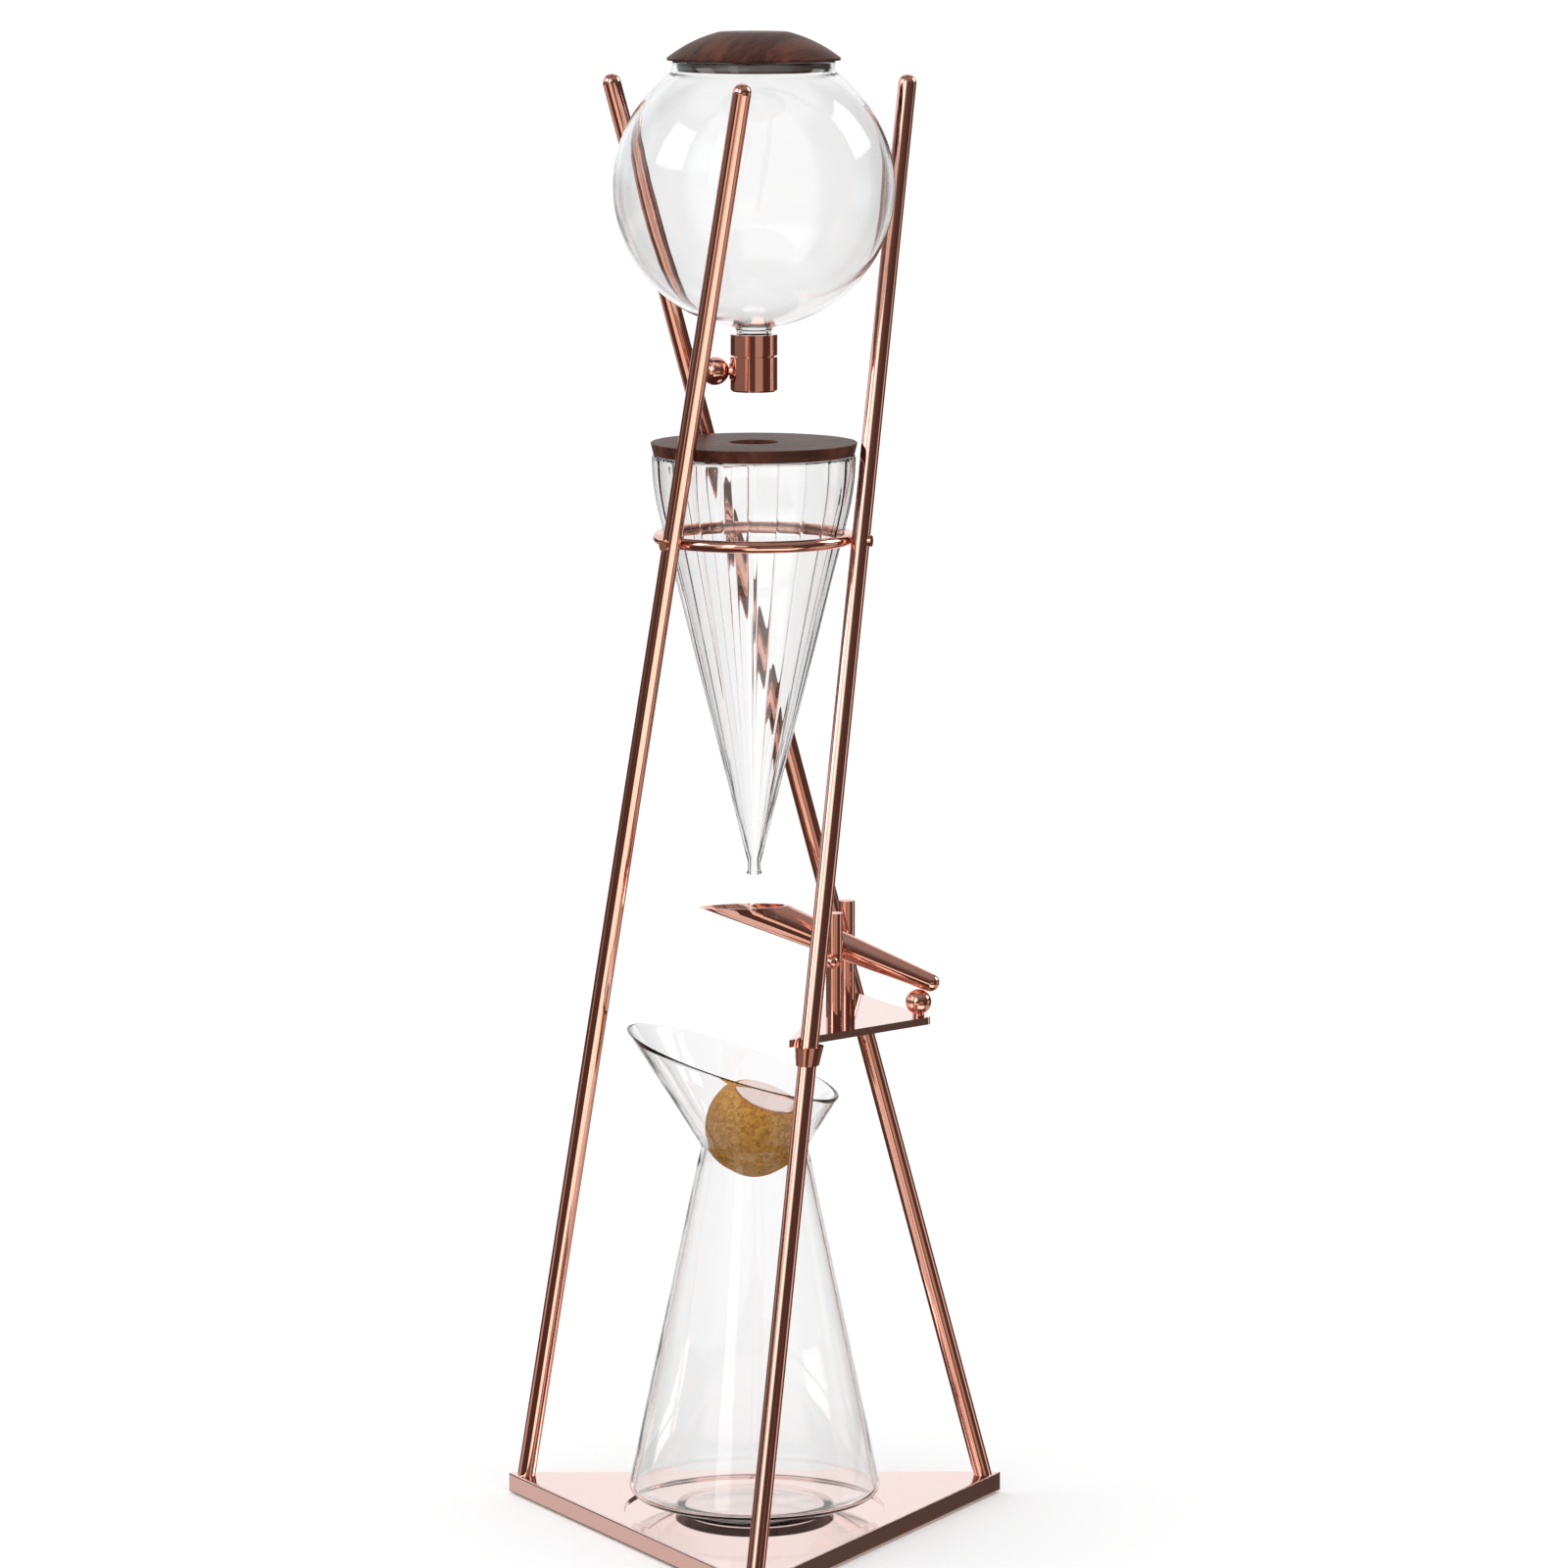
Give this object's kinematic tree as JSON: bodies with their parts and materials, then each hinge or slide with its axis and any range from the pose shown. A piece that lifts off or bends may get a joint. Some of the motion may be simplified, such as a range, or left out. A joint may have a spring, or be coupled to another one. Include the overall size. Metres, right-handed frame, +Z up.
{
  "type": "cold drip coffee tower",
  "caption": "Twisted tripod tower that holds a glass water globe with a drip valve over a funnel, a tipping tube and a stoppered carafe.",
  "frame": {"origin": "on the tower's upright axis, in the plane of the base plate's underside", "axes": "+Z up the tower; -Y towards the base plate's front corner; +X to the right, towards the shelf's side"},
  "size_m": [0.2588, 0.2242, 0.7682],
  "materials": {
    "copper": "polished copper plate",
    "pale_copper": "mirror-polished pale copper plate",
    "walnut": "oiled dark walnut",
    "cork": "pressed cork",
    "globe_glass": "clear",
    "funnel_glass": "clear, fluted",
    "carafe_glass": "clear",
    "silicone": "matt",
    "rubber": "matt",
    "steel": "plain"
  },
  "bodies": {
    "tower": {"base_plate": "pale_copper", "foot_pads": "rubber", "leg_screws": "steel", "leg_rod_front": "copper", "leg_rod_right": "copper", "leg_rod_left": "copper", "funnel_ring": "copper", "ring_screws": "copper", "shelf_plate": "pale_copper", "shelf_collars": "copper", "collar_screws": "steel", "front_post": "copper", "rear_post": "copper", "post_screws": "steel", "pivot_pin": "steel", "pin_washers": "copper", "pin_nuts": "copper", "stop_ball": "copper"},
    "tube": {"tipping_tube": "copper", "tube_end_plug": "copper", "pivot_bush": "copper"},
    "globe": {"water_globe": "globe_glass", "neck_gasket": "silicone", "neck_ring_seal": "silicone", "valve_nut": "copper", "valve_body": "copper", "gland_nut": "copper"},
    "valve": {"valve_plug": "copper", "plug_seals": "rubber", "valve_knob": "copper"},
    "cap": {"globe_cap": "walnut", "cap_plug": "walnut", "cap_seal": "silicone"},
    "funnel": {"funnel_glass": "funnel_glass"},
    "lid": {"funnel_lid": "walnut"},
    "jug": {"carafe": "carafe_glass"},
    "stopper": {"cork_ball": "cork", "stopper_disc": "pale_copper"}
  },
  "joints": [
    {"name": "tube_tip", "type": "hinge", "parent": "tower", "child": "tube", "pos_m": [0.04384, -0.00764, 0.3016], "axis": [-0.1718, -0.9851, 0], "range_deg": [0, 40]},
    {"name": "globe_lift", "type": "slide", "parent": "tower", "child": "globe", "axis": [0, 0, 1], "range_m": [0, 0.16]},
    {"name": "valve_turn", "type": "hinge", "parent": "globe", "child": "valve", "pos_m": [-0.0196, 0, 0.59746], "axis": [1, 0, 0], "range_deg": [0, 90]},
    {"name": "cap_lift", "type": "slide", "parent": "globe", "child": "cap", "axis": [0, 0, 1], "range_m": [0, 0.03]},
    {"name": "funnel_lift", "type": "slide", "parent": "tower", "child": "funnel", "axis": [0, 0, 1], "range_m": [0, 0.012]},
    {"name": "lid_lift", "type": "slide", "parent": "funnel", "child": "lid", "axis": [0, 0, 1], "range_m": [0, 0.012]},
    {"name": "carafe_out", "type": "slide", "parent": "tower", "child": "jug", "axis": [-0.5704, -0.8147, 0.1045], "range_m": [0, 0.25]},
    {"name": "stopper_lift", "type": "slide", "parent": "jug", "child": "stopper", "axis": [0, 0, 1], "range_m": [0, 0.06]}
  ]
}
